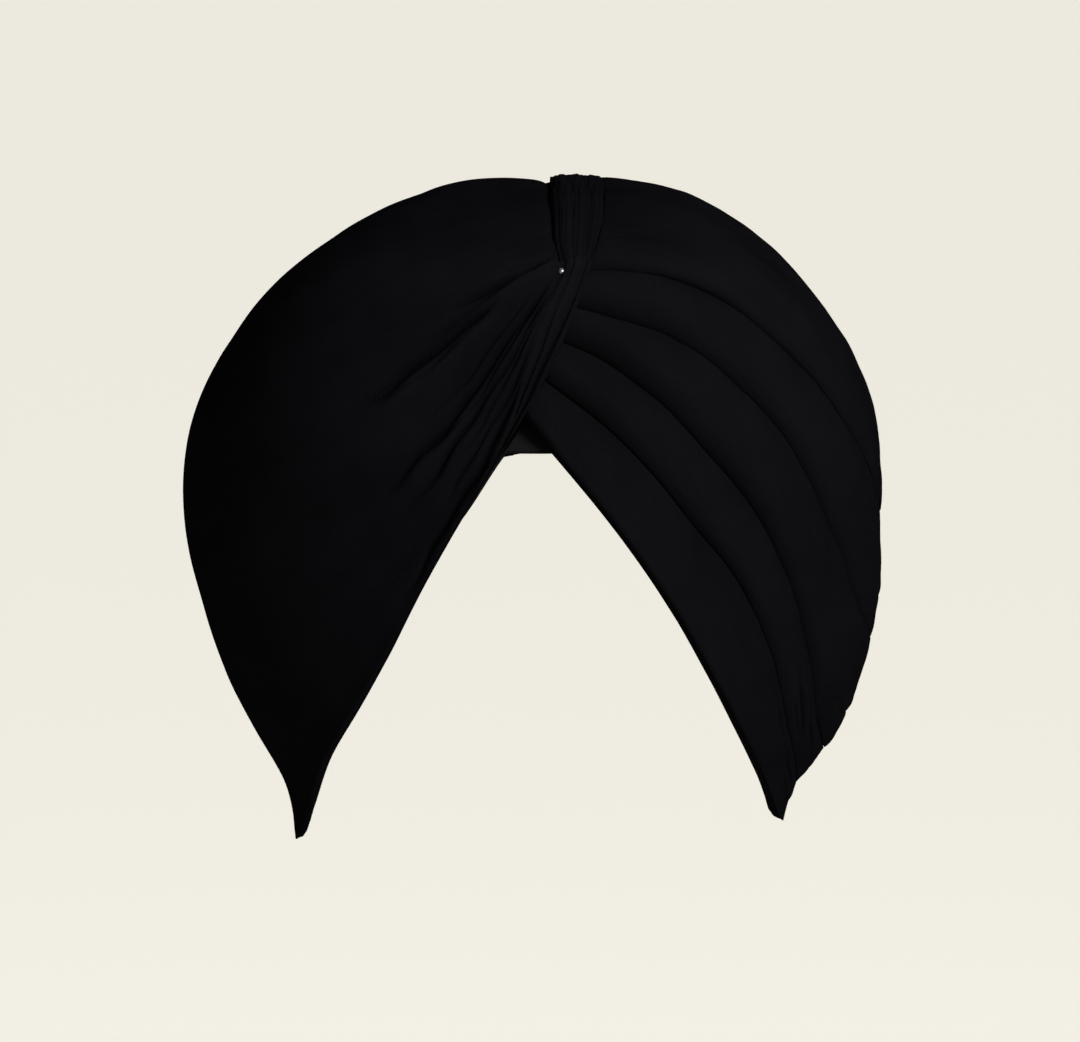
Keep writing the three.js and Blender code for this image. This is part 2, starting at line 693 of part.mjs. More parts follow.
function geometryOf(solid) {
  const mesh = solid.getMesh();
  const geometry = new THREE.BufferGeometry();
  geometry.setAttribute('position', new THREE.BufferAttribute(new Float32Array(mesh.vertProperties), 3));
  geometry.setIndex(new THREE.BufferAttribute(new Uint32Array(mesh.triVerts), 1));
  return geometry;
}

function withPinHole(geometry) {
  return geometryOf(solidOf(geometry).subtract(solidOf(placePin(pinGeometry(pinClearance)))));
}

const cloth = (shade) => new THREE.MeshStandardMaterial({ color: shade, roughness: 0.95, metalness: 0 });
const steel = new THREE.MeshStandardMaterial({ color: 0x2a2a2e, roughness: 0.35, metalness: 0.8 });

const turban = new THREE.Group();

function addPiece(name, geometry, material) {
  geometry.computeVertexNormals();
  const mesh = new THREE.Mesh(geometry, material);
  mesh.name = name;
  turban.add(mesh);
}

addPiece('under_turban', welded(underTurban()), cloth(0x0a0a0b));
addPiece('layer_1', leftLayer('layer_1', 'layer_2', layerAcrosses), cloth(0x0a0a0c));
addPiece('layer_2', leftLayer('layer_2', 'layer_3', layerAcrosses), cloth(0x0a0a0c));
addPiece('layer_3', leftLayer('layer_3', 'layer_4', layerAcrosses), cloth(0x0a0a0c));
addPiece('layer_4', leftLayer('layer_4', 'layer_5', layerAcrosses), cloth(0x0a0a0c));
addPiece('layer_5', leftLayer('layer_5', 'band', topLayerAcrosses), cloth(0x0a0a0c));
addPiece('right_wrap', withPinHole(rightWrap()), cloth(0x0a0a0c));
addPiece('crown_band', crownBand(), cloth(0x0a0a0c));
addPiece('pin', welded(placePin(pinGeometry(0))), steel);

export default turban;
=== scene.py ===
# Pagri turban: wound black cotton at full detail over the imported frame, with its studio and camera
import math

import bpy
import numpy as np
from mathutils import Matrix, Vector
from mathutils.kdtree import KDTree


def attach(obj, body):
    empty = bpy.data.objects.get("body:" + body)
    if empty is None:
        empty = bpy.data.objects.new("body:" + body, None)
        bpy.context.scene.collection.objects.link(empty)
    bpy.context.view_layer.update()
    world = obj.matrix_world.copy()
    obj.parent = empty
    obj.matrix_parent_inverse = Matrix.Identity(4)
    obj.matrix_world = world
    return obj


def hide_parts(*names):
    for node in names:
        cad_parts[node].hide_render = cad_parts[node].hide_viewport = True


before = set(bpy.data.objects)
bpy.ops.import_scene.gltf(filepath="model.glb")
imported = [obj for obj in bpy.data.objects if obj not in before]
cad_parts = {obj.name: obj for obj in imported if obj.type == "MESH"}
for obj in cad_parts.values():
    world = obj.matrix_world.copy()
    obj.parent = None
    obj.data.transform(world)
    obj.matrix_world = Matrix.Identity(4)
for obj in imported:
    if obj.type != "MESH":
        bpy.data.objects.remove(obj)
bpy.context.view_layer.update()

MM = 0.001

# Sizes in millimetres, as in the solids
head_width = 154
head_depth = 198
head_height = 85  # seat down to the head's widest level
head_taper = 0.012  # how much nearer the hollow's wall comes for each millimetre below that level
head_roundness = 2.2  # 2 is an ellipse, more is fuller at the shoulders
cap_thickness = 2.5
cloth_gap = 0.6
right_wall = 41
left_wall = 37.5
front_wall = 16
back_wall = 38
crown_wall = 17
edge_thickness = 5
tip_thickness = 10.5
tip_spread = 20  # degrees round each tip over which the edge thins again
edge_height = 86  # height above the lower edge at which the wall is fully thick
edge_swell = 1.15
outline_roundness = 2.25
crown_roundness = 2
rounding_elevations = (30, 85)

# Levels of the lower edge, above or below the head's widest level
forehead_level = 24.9
left_tip_level = -109
right_tip_level = -116
nape_level = 1
cap_rise = 8  # the cap's rim over the wraps' lower edge, away from the forehead
cap_rise_turns = (8, 26)

# Folds and gathers, finer than in the solids
fold_step = 2.6
side_fold_share = 0.12  # how much of a fold's relief is left at the sides, where the cloth is tight
fold_lean = 5  # degrees by which a fold's joint climbs on its way in to the head
hem_lean = 3  # degrees by which the layers run on under the right wrap
under_hem = 0.8  # degrees by which they run on under its hem in front, so that no joint shows
lap_length = 9
rim_radius = 2.4
rim_swell = 0.8
rim_crinkle = 0.35
plain_lip = (rim_radius, rim_radius)
layer_wrinkle_depth = 0.42
layer_belly = 0.5

# Pin
pin_azimuth = 4.1
pin_elevation = 38.2
pin_head_radius = 1.3
pin_head_rise = 0.9  # height of the head's middle over its foot, as a share of its radius
pin_neck_turn = -65  # where the head meets the shaft, in degrees over the level of its middle
pin_shaft_radius = 0.6
pin_length = 10
pin_point_length = 1.5
pin_sides = 40
dimple_depth = 1.9
dimple_width = 3.2

# Outside of the wound cloth: radius as a share of the ellipse through the walls
outline_table = [
    # elevation, right, left, front, back
    (-60, 0.620, 0.680, 0.636, 0.614),
    (-40, 0.855, 0.945, 0.883, 0.843),
    (-20, 0.957, 1, 0.948, 0.960),
    (0, 1, 1, 1, 1),
    (16, 0.995, 1.005, 1.150, 1.018),
    (35, 0.986, 1.013, 1.367, 1.039),
    (47, 0.991, 1.028, 1.217, 1.024),
    (58, 1.002, 1.036, 1.107, 1.015),
    (65, 1.002, 1.038, 1.064, 1.008),
    (76, 1.010, 1.031, 1.021, 1),
    (90, 1, 1, 1, 1),
]
notch_azimuth = -1.6

# Lower edge in front: the shares run from the forehead level to the tip
front_edge_table = [
    # turn from the notch, left, right
    (0, -0.072, -0.071),
    (6, 0.018, 0.029),
    (12, 0.113, 0.151),
    (20, 0.246, 0.309),
    (30, 0.413, 0.499),
    (40, 0.573, 0.640),
    (52, 0.730, 0.762),
    (66, 0.862, 0.906),
    (82, 0.978, 0.992),
    (95, 1.000, 1.000),
]
tip_turn = 95

# Lower edge behind the ears: the share runs from the nape level to the tip
back_edge_table = [
    # turn from the notch, share
    (95, 1.00),
    (104, 0.95),
    (114, 0.83),
    (127, 0.60),
    (142, 0.34),
    (157, 0.14),
    (170, 0.03),
    (184, 0.00),
]

# Elevation of the lower edge of layers 2 to 5
fold_table = [
    # azimuth, layer_2, layer_3, layer_4, layer_5
    (0, 25.9, 30.5, 34.5, 38.6),
    (10, 19.4, 27.3, 32.7, 38.4),
    (20, 9.8, 20.7, 29.7, 37.1),
    (30, -1.3, 11.5, 23.9, 33.4),
    (40, -11.5, 1.7, 16.2, 27.7),
    (50, -24.0, -11.0, 5.9, 21.0),
    (60, -36.0, -25.6, -5.3, 12.8),
    (75, -46.0, -39.0, -20.0, 0.5),
    (90, -50.0, -43.5, -26.0, -5.0),
    (112, -43.0, -35.5, -21.0, -3.5),
    (125, -32.5, -25.0, -12.0, 1.5),
    (140, -16.5, -10.0, -0.5, 10.0),
    (160, -0.5, 5.0, 11.5, 19.0),
    (190, 5.5, 11.0, 17.0, 24.0),
]

# Hem of the right wrap, in front and at the back
front_hem_table = [
    # elevation, azimuth
    (12.7, -6.8),
    (16.8, -4.1),
    (21.2, -1.1),
    (24.7, 1.4),
    (30.3, 4.9),
    (35.1, 7.5),
    (41.0, 10.2),
    (48.0, 11.8),
]
back_hem_table = [
    # elevation, azimuth
    (-12, 188),
    (-3, 186),
    (5, 183.5),
    (13, 180.5),
    (21, 177),
    (34, 170),
    (42, 166),
]

# Crown band: lean of its two edges off the middle plane
band_table = [
    # arch over the crown, left edge, right edge
    (39.5, 7.4, 2.8),
    (46, 8.8, 2.1),
    (57, 10.3, 2.1),
    (75, 11.6, 2.1),
    (100, 12.4, 2.0),
    (125, 12.0, -1.5),
    (146, 9.0, -5.0),
]
band_front_arch = {"left": 41.4, "right": 39.6}
band_back_arch = {"left": 146, "right": 143}

# Elevations at which the fold lines cross the two hems, and at which the front hem reaches the lower edge
front_crossing = {
    "layer_1": 19.7,
    "layer_2": 24.9,
    "layer_3": 29.5,
    "layer_4": 33.4,
    "layer_5": 38.4,
    "band": 41.0,
}
back_crossing = {
    "layer_1": 0.6,
    "layer_2": 6,
    "layer_3": 11.5,
    "layer_4": 17.5,
    "layer_5": 24,
    "band": 34,
}
front_foot = 12.7

# Rib of the diagonal hem, between its edge and its inner crease
hem_rib_table = [
    # elevation, width
    (12.7, 9.0),
    (24.2, 8.2),
    (27.6, 6.6),
    (31.3, 4.6),
    (34.6, 3.2),
    (38.3, 2.4),
    (41.0, 2.0),
]

# Pleats that fan out of the crossing in front, and out of the one at the back
front_fan_centre = (10.0, 43.0)
front_fan = [
    # angle below the level, reach from, reach to, all in degrees, depth, width
    (22.5, 7, 16, 0.9, 1.2),
    (26.6, 8, 25, 3.6, 1.3),
    (29.6, 14, 34, 1.4, 1.3),
    (32.6, 18, 50, 4.0, 1.6),
    (34.6, 24, 46, 1.2, 1.2),
    (38.5, 14, 30, 0.9, 1.1),
    (42.2, 12, 40, 1.4, 1.1),
    (46.0, 11, 58, 3.9, 1.3),
    (48.0, 12, 40, 1.6, 0.9),
    (50.4, 12, 55, 3.2, 1.2),
    (53.0, 14, 46, 1.3, 1.0),
    (55.6, 16, 50, 1.9, 1.1),
    (58.3, 24, 70, 3.4, 1.4),
    (60.6, 14, 42, 2.0, 1.0),
    (63.6, 24, 64, 1.6, 1.3),
]
back_fan_centre = (172.0, 36.0)
back_fan = [
    # angle below the level, reach from, reach to, depth, width
    (24, 9, 30, 1.6, 2.0),
    (33, 12, 44, 2.1, 2.0),
    (41, 12, 38, 1.0, 1.7),
    (49, 14, 52, 2.1, 1.9),
    (57, 16, 42, 1.1, 1.6),
    (65, 22, 56, 1.7, 1.9),
]

# Short creases of the left layers
layer_creases = [
    # layer, azimuth from, azimuth to, share up the layer from, share up it to, depth, width
    ("layer_1", 66, 84, 0.80, 0.62, 1.0, 1.3),
    ("layer_1", 70, 92, 0.52, 0.36, 0.9, 1.5),
    ("layer_1", 52, 66, 0.86, 0.80, 0.5, 1.0),
    ("layer_2", 57, 74, 0.62, 0.30, 1.3, 1.3),
    ("layer_2", 66, 88, 0.80, 0.42, 0.9, 1.2),
    ("layer_2", 60, 70, 0.30, 0.20, 0.6, 1.0),
    ("layer_3", 72, 96, 0.22, 0.40, 0.8, 1.6),
    ("layer_4", 80, 104, 0.30, 0.44, 0.5, 1.6),
]

# Rounding of the folded edges: width and depth
layer_lips = {
    "layer_1": plain_lip,
    "layer_2": (6.5, 4.0),
    "layer_3": (9.0, 5.8),
    "layer_4": (7.5, 4.7),
    "layer_5": (7.0, 4.3),
}
right_wrap_lips = {"low": plain_lip, "start": (6.0, 3.0), "end": (2.6, 2.4)}
band_lips = {"low": (4.0, 1.0), "high": (4.6, 3.6)}

# Right wrap beside its hem and beside the crown band
hem_crease_depth = 2.5
hem_crease_width = 1.5
hem_cushion = 0.9
hem_cushion_offset = 5
hem_cushion_width = 4
back_crease_depth = 1.2
back_crease_width = 2
back_crease_offset = 8
gather_depth = 1.6
gather_level = 0.6  # height of the ribs that leaves the surface where it is, what is lower being cut in
gather_widths = (23, 11.5)  # over the elevations below
gather_elevations = (24, 40)
gather_start = (22, 36)
gather_stop = (41, 45)
crossing_rise = 0.9
band_groove_depth = 2.4
band_groove_width = 2.4
band_shoulder_depth = 0.3
band_shoulder_width = 9
band_foot_reach = (7, 16)  # distance from the band's foot over which the groove sets in
band_side = 0.09  # how far to the wearer's left the groove goes on, as the X of a direction

# Crown band
band_rib_depth = 0.8
band_rib_level = 0.8
band_heights = (0.2, 1.1)  # over the right wrap's side and over the left
band_foot_depth = 2.6
band_foot_width = 1.3
band_start = -0.014  # share of its length by which the band dives under the wrap in front
band_lap = 1.2
band_end_share = 0.04

reach = {
    "right": head_width / 2 + cap_thickness + cloth_gap + right_wall,
    "left": head_width / 2 + cap_thickness + cloth_gap + left_wall,
    "front": head_depth / 2 + cap_thickness + cloth_gap + front_wall,
    "back": head_depth / 2 + cap_thickness + cloth_gap + back_wall,
    "crown": head_height + cap_thickness + cloth_gap + crown_wall,
}
wrap_clearance = cap_thickness + cloth_gap
centre = np.array([0.0, 0.0, -head_height])


# Curves and directions
def curve_through(rows, column):
    at = np.array([row[0] for row in rows], float)
    value = np.array([row[column] for row in rows], float)
    rise = np.diff(value) / np.diff(at)
    product = rise[:-1] * rise[1:]
    total = np.where(product > 0, rise[:-1] + rise[1:], 1)
    slope = np.concatenate([rise[:1], np.where(product > 0, 2 * product / total, 0), rise[-1:]])

    def curve(x):
        place = np.clip(x, at[0], at[-1])
        i = np.clip(np.searchsorted(at, place, side="right") - 1, 0, len(at) - 2)
        span = at[i + 1] - at[i]
        t = (place - at[i]) / span
        climb = value[i + 1] - value[i]
        bend_in = slope[i] * span - climb
        bend_out = climb - slope[i + 1] * span
        return value[i] + climb * t + t * (1 - t) * (bend_in * (1 - t) + bend_out * t)

    return curve


outline_sides = ("right", "left", "front", "back")
outline = {name: curve_through(outline_table, k) for k, name in enumerate(outline_sides, 1)}
front_edge = {"left": curve_through(front_edge_table, 1), "right": curve_through(front_edge_table, 2)}
back_edge = curve_through(back_edge_table, 1)
fold_line = {f"layer_{k + 1}": curve_through(fold_table, k) for k in range(1, 5)}
front_hem = curve_through(front_hem_table, 1)
back_hem = curve_through(back_hem_table, 1)
band_edge = {"left": curve_through(band_table, 1), "right": curve_through(band_table, 2)}
hem_rib = curve_through(hem_rib_table, 1)


def lerp(a, b, t):
    return a + (b - a) * t


def smooth(x, low, high):
    t = np.clip((x - low) / (high - low), 0, 1)
    return t * t * (3 - 2 * t)


def unit(v):
    return v / np.linalg.norm(v, axis=-1, keepdims=True)


def towards(azimuth, elevation):
    azimuth, elevation = np.broadcast_arrays(np.radians(azimuth), np.radians(elevation))
    level = np.cos(elevation)
    return np.stack([level * np.sin(azimuth), -level * np.cos(azimuth), np.sin(elevation)], -1)


def over_crown(lean, arch):
    lean, arch = np.broadcast_arrays(np.radians(lean), np.radians(arch))
    across = np.cos(lean)
    return np.stack([np.sin(lean), -across * np.cos(arch), across * np.sin(arch)], -1)


def azimuth_of(way):
    return np.arctan2(way[..., 0], -way[..., 1])


def elevation_of(way):
    return np.degrees(np.arcsin(np.clip(way[..., 2], -1, 1)))


def angle_between(a, b):
    return 2 * np.arcsin(np.clip(np.linalg.norm(a - b, axis=-1) / 2, 0, 1))


def slerp(a, b, t):
    t = np.asarray(t)[..., None]
    a, b = np.broadcast_arrays(a, b)
    angle = np.maximum(angle_between(a, b), 1e-9)[..., None]
    return (np.sin((1 - t) * angle) * a + np.sin(t * angle) * b) / np.sin(angle)


# Head, lower edge and outside of the wraps
def oval_radius(sideways, lengthways, azimuth, roundness):
    across = (np.abs(np.sin(azimuth)) / sideways) ** roundness
    along = (np.abs(np.cos(azimuth)) / lengthways) ** roundness
    return (across + along) ** (-1 / roundness)


def head_radius(way, clearance):
    level = oval_radius(head_width / 2 + clearance, head_depth / 2 + clearance, azimuth_of(way), 2)
    flat = np.maximum(np.hypot(way[..., 0], way[..., 1]), 1e-9)
    below = level / (1 - head_taper * way[..., 2] / flat) / flat
    top = head_height + clearance
    rise = np.maximum(way[..., 2], 0) / top
    above = ((flat / level) ** head_roundness + rise ** head_roundness) ** (-1 / head_roundness)
    return np.where(way[..., 2] < 0, below, above)


def point_at(way, radius):
    return way * radius[..., None] + centre


def at_level(azimuth, level):
    turn = np.radians(azimuth)
    widest = oval_radius(head_width / 2 + wrap_clearance, head_depth / 2 + wrap_clearance, turn, 2)
    up = np.maximum(level, 0) / (head_height + wrap_clearance)
    out = widest * (1 - up ** head_roundness) ** (1 / head_roundness) + head_taper * np.minimum(level, 0)
    return unit(np.stack([out * np.sin(turn), -out * np.cos(turn), level + 0 * turn], -1))


def from_notch(azimuth):
    return np.mod(azimuth - notch_azimuth + 180, 360) - 180


def edge_level(azimuth):
    wrapped = from_notch(azimuth)
    turn = np.abs(wrapped)
    tip = np.where(wrapped < 0, right_tip_level, left_tip_level)
    share = np.where(wrapped < 0, front_edge["right"](turn), front_edge["left"](turn))
    in_front = lerp(forehead_level, tip, share)
    behind = lerp(nape_level, tip, back_edge(turn))
    return np.where(turn < tip_turn, in_front, behind)


def edge_thickness_at(azimuth):
    away = (np.abs(from_notch(azimuth)) - tip_turn) / tip_spread
    return lerp(edge_thickness, tip_thickness, np.exp(-(away ** 2)))


def rim_tree():
    azimuth = np.linspace(-180, 180, 2880, endpoint=False)
    way = at_level(azimuth, np.minimum(edge_level(azimuth), forehead_level))
    points = point_at(way, head_radius(way, wrap_clearance))
    tree = KDTree(len(points))
    for i, point in enumerate(points):
        tree.insert(point, i)
    tree.balance()
    return tree


RIM = rim_tree()


def wrap_radius(way):
    elevation = elevation_of(way)
    side = np.where(way[..., 0] < 0, outline["right"](elevation), outline["left"](elevation))
    end = np.where(way[..., 1] < 0, outline["front"](elevation), outline["back"](elevation))
    side_reach = np.where(way[..., 0] < 0, reach["right"], reach["left"])
    end_reach = np.where(way[..., 1] < 0, reach["front"], reach["back"])
    flat = np.hypot(way[..., 0], way[..., 1])
    rise = np.maximum(way[..., 2], 0) / reach["crown"]
    across = side / np.hypot(flat / side_reach, rise)
    along = end / np.hypot(flat / end_reach, rise)
    roundness = lerp(outline_roundness, crown_roundness, smooth(elevation, *rounding_elevations))
    outside = oval_radius(across, along, azimuth_of(way), roundness)
    inside = head_radius(way, wrap_clearance)
    starts = point_at(way, inside).reshape(-1, 3)
    height = np.array([RIM.find(point)[2] for point in starts]).reshape(inside.shape)
    swell = np.sin(np.pi / 2 * np.minimum(height / edge_height, 1)) ** edge_swell
    edge = edge_thickness_at(np.degrees(azimuth_of(way)))
    return inside + lerp(edge, np.maximum(outside - inside, edge), swell)


def fold_strength(way):
    return lerp(1, side_fold_share, np.sin(azimuth_of(way)) ** 4)


# Uneven cloth: seeded sums of long waves
def waves(points, size, count, seed):
    random = np.random.default_rng(seed)
    ways = unit(random.normal(size=(count, 3)))
    pace = 2 * np.pi / (size * random.uniform(0.7, 1.5, count))
    turn = random.uniform(0, 2 * np.pi, count)
    total = np.zeros(points.shape[:-1])
    for way, step, start in zip(ways, pace, turn):
        total += np.sin(points @ way * step + start)
    return total / math.sqrt(count / 2)


def drawn_wrinkles(along, across, seed, spans):
    random = np.random.default_rng(seed)
    total = np.zeros(along.shape)
    for span in spans:
        sway = 1.6 * np.sin(2 * np.pi * along / random.uniform(110, 260) + random.uniform(0, 6))
        sway += 0.8 * np.sin(2 * np.pi * along / random.uniform(50, 90) + random.uniform(0, 6))
        near = 0.5 + 0.5 * np.sin(2 * np.pi * along / random.uniform(90, 190) + random.uniform(0, 6))
        crest = np.sin(2 * np.pi * across / span + sway + random.uniform(0, 6))
        total += near * (1 - np.abs(crest)) * span / max(spans)
    return total / len(spans)


# Borders of the pieces, by the share along them and the depth from outside (0) to the head (1)
def lean_at(elevation, crossing):
    foot = smooth(elevation, crossing["layer_1"], crossing["layer_3"])
    head = smooth(elevation, crossing["layer_4"], crossing["band"])
    return hem_lean * foot * (1 - head)


def front_hem_at(elevation, depth):
    return front_hem(elevation) - lean_at(elevation, front_crossing) * depth


def back_hem_at(elevation, depth):
    return back_hem(elevation) + lean_at(elevation, back_crossing) * depth


def fold_border(name):
    def border(share, depth):
        first = front_crossing[name]
        last = back_crossing[name]
        azimuth = lerp(front_hem_at(first, depth) - under_hem, back_hem_at(last, depth), share)
        outside = lerp(front_hem(first), back_hem(last), share)
        if name == "layer_1":
            return at_level(azimuth, edge_level(outside))
        line = fold_line[name]
        settle_front = first - line(front_hem(first))
        settle_back = last - line(back_hem(last))
        climb = fold_lean * depth * np.sin(np.pi * share)
        sway = fold_sway(name, outside) * np.sin(np.pi * share)
        return towards(azimuth, line(outside) + lerp(settle_front, settle_back, share) + climb + sway)

    return border


def fold_sway(name, azimuth):
    seed = int(name[-1])
    return 0.22 * np.sin(azimuth / 7.3 + seed * 2.1) + 0.14 * np.sin(azimuth / 3.1 + seed * 4.7)


def band_border(side):
    def border(share, depth=0):
        arch = lerp(band_front_arch[side], band_back_arch[side], share)
        return over_crown(band_edge[side](arch), arch)

    return border


def pinned(border, first, last):
    def through(share, depth=0):
        share = np.asarray(share, float)
        way = border(share, depth)
        start = first(depth) - border(np.array(0.0), depth)
        end = last(depth) - border(np.array(1.0), depth)
        return unit(way + start * ((1 - share) ** 8)[..., None] + end * (share ** 8)[..., None])

    return through


def hem_border(hem_at, low, high, turn_back=0):
    def border(share, depth):
        elevation = lerp(low, high, np.asarray(share, float))
        return towards(hem_at(elevation, depth) - turn_back, elevation)

    return border


band_left = pinned(
    band_border("left"),
    lambda d: towards(front_hem(front_crossing["band"]), front_crossing["band"]),
    lambda d: towards(back_hem(back_crossing["band"]), back_crossing["band"]),
)
band_right = band_border("right")


def band_foot():
    return unit(band_left(np.array(0.0)) + band_right(np.array(0.0)))


def band_end(at):
    def border(share, depth=0):
        return unit(slerp(band_left(np.array(float(at))), band_right(np.array(float(at))), share))

    return border


def around_band(share, depth=0):
    share = np.asarray(share, float)
    back = band_end(1)(np.clip(share / band_end_share, 0, 1))
    front = band_end(0)(np.clip((1 - share) / band_end_share, 0, 1))
    beside = band_right(np.clip(1 - (share - band_end_share) / (1 - 2 * band_end_share), 0, 1))
    way = np.where((share < band_end_share)[..., None], back, beside)
    return np.where((share > 1 - band_end_share)[..., None], front, way)


# Directions of a patch between its four borders, drawn in from each joint by half the gap
def patch(borders, alongs, acrosses, depth, open_low, lap=0):
    low = borders["low"](alongs, depth)
    high = borders["high"](alongs, depth)
    width = np.maximum(angle_between(low, high), 1e-4) * reach["front"]
    inset = np.minimum(cloth_gap / 2 / width, 0.2)[:, None]
    floor = 0 * inset if open_low else inset - (lap / width)[:, None]
    across = lerp(floor, 1 - inset, acrosses[None, :])
    ends = [np.array(0.0), np.array(1.0)]

    def bend(name, at):
        straight = slerp(borders["low"](at, depth), borders["high"](at, depth), across)
        return borders[name](across, depth) - straight

    along = alongs[:, None, None]
    way = slerp(low[:, None], high[:, None], across)
    way = way + bend("start", ends[0]) * (1 - along) ** 2 + bend("end", ends[1]) * along ** 2
    return unit(way), unit(low)[:, None], unit(high)[:, None], across


# Reliefs
def lip_rounding(distance, width, depth):
    bend = np.clip(1 - distance / width, 0, 1)
    return depth * (1 - np.sqrt(1 - bend ** 2 * 0.985))


def crease(offset, width):
    sharp = np.exp(-np.abs(offset) / (0.55 * width))
    ridge = np.exp(-((offset - 2.1 * width) / (1.5 * width)) ** 2)
    return sharp - 0.42 * ridge


def fan_relief(way, radius, middle, rays, side):
    azimuth = np.degrees(azimuth_of(way))
    if side < 0:
        azimuth = np.mod(azimuth, 360)
    elevation = elevation_of(way)
    level = side * (middle[0] - azimuth) * np.cos(np.radians(elevation))
    fall = middle[1] - elevation
    reach_out = np.hypot(level, fall)
    angle = np.degrees(np.arctan2(fall, level))
    total = np.zeros(radius.shape)
    for ray, start, stop, depth, width in rays:
        sway = 0.35 * np.sin(reach_out / 4.1 + ray) + 0.25 * np.sin(reach_out / 1.9 + 2 * ray)
        offset = np.radians(angle - ray + sway) * np.radians(reach_out) * radius
        fade = smooth(reach_out, start - 2.5, start + 3)
        fade = fade * (1 - smooth(reach_out, lerp(start, stop, 0.55), stop))
        total -= depth * fade * crease(offset, width)
    fine = np.sin(np.radians(angle) * 95 + 1.1 * np.sin(reach_out / 6)) * 0.6
    fine += np.sin(np.radians(angle) * 151 + 0.9 * np.sin(reach_out / 4.3 + 2)) * 0.4
    spread = smooth(reach_out, 8, 18) * (1 - smooth(reach_out, 30, 58))
    spread = spread * smooth(angle, 14, 30) * (1 - smooth(angle, 66, 74))
    return total + 0.22 * fine * spread


def crease_relief(name, azimuth, across, radius, width_mm):
    total = np.zeros(radius.shape)
    for layer, first, last, low, high, depth, width in layer_creases:
        if layer != name:
            continue
        share = (azimuth - first) / (last - first)
        line = lerp(low, high, np.clip(share, 0, 1)) + 0.02 * np.sin(azimuth / 1.7)
        offset = (across - line) * width_mm
        fade = smooth(share, 0, 0.3) * (1 - smooth(share, 0.65, 1))
        total -= depth * fade * crease(offset, width)
    return total


# Gathers that leave the band and run down beside the hem: share across them, and a slow sway
def gather_ribs(across, sway):
    main = np.abs(np.sin(np.pi * (3.4 * across ** 1.15 + sway)))
    fine = np.abs(np.sin(np.pi * (7.7 * across - 1.5 * sway + 0.3)))
    finest = np.abs(np.sin(np.pi * (13.1 * across + 2.3 * sway + 0.1)))
    return 0.55 * main + 0.28 * fine + 0.17 * finest


# Meshes
def placed(name, mesh):
    piece = bpy.data.objects.new(name, mesh)
    bpy.context.scene.collection.objects.link(piece)
    return piece


def lay_cloth(mesh, u, v):
    corner = np.empty(len(mesh.loops), np.int64)
    mesh.loops.foreach_get("vertex_index", corner)
    layer = mesh.uv_layers.new(name="cloth")
    layer.data.foreach_set("uv", np.stack([u[corner], v[corner]], -1).astype(np.float32).ravel())


def closed_mesh(name, loops, u, v, sheen_and_wear):
    rows, count = loops.shape[:2]
    points = loops.reshape(-1, 3) * MM
    i, j = np.meshgrid(np.arange(rows - 1), np.arange(count), indexing="ij")
    k = (j + 1) % count
    quads = np.stack([i * count + j, (i + 1) * count + j, (i + 1) * count + k, i * count + k], -1)
    quads = quads.reshape(-1, 4)
    centres = np.stack([loops[0].mean(0), loops[-1].mean(0)]) * MM
    size = rows * count
    ring = np.arange(count)
    after = (ring + 1) % count
    end = (rows - 1) * count
    first = np.stack([ring, after, np.full(count, size)], -1)
    last = np.stack([end + after, end + ring, np.full(count, size + 1)], -1)
    mesh = bpy.data.meshes.new(name)
    faces = quads.tolist() + first.tolist() + last.tolist()
    mesh.from_pydata(np.concatenate([points, centres]).tolist(), [], faces)
    mesh.polygons.foreach_set("use_smooth", [True] * len(faces))
    lay_cloth(mesh, np.append(u.reshape(-1), [0, 0]), np.append(v.reshape(-1), [0, 0]))
    # per-point share of the lighter colour: painted sheen on the ridges and painted shade in the hollows,
    # with some wear
    shade = mesh.attributes.new("sheen_and_wear", "FLOAT", "POINT")
    shade.data.foreach_set("value", np.append(sheen_and_wear.reshape(-1), [0, 0]).astype(np.float32))
    mesh.validate()
    return placed(name, mesh)


INNER_ROWS = 5
RIM_ROWS = 7
LAYER_ROWS = 330
FRONT_CROWDING = 1.4  # above 1, rows are closer together in front, where the folds are tight
EDGE_CROWDING = 1.35  # above 1, columns are closer together at the folds
CLOTH_SCALE = 10  # millimetres of cloth for each unit of its texture


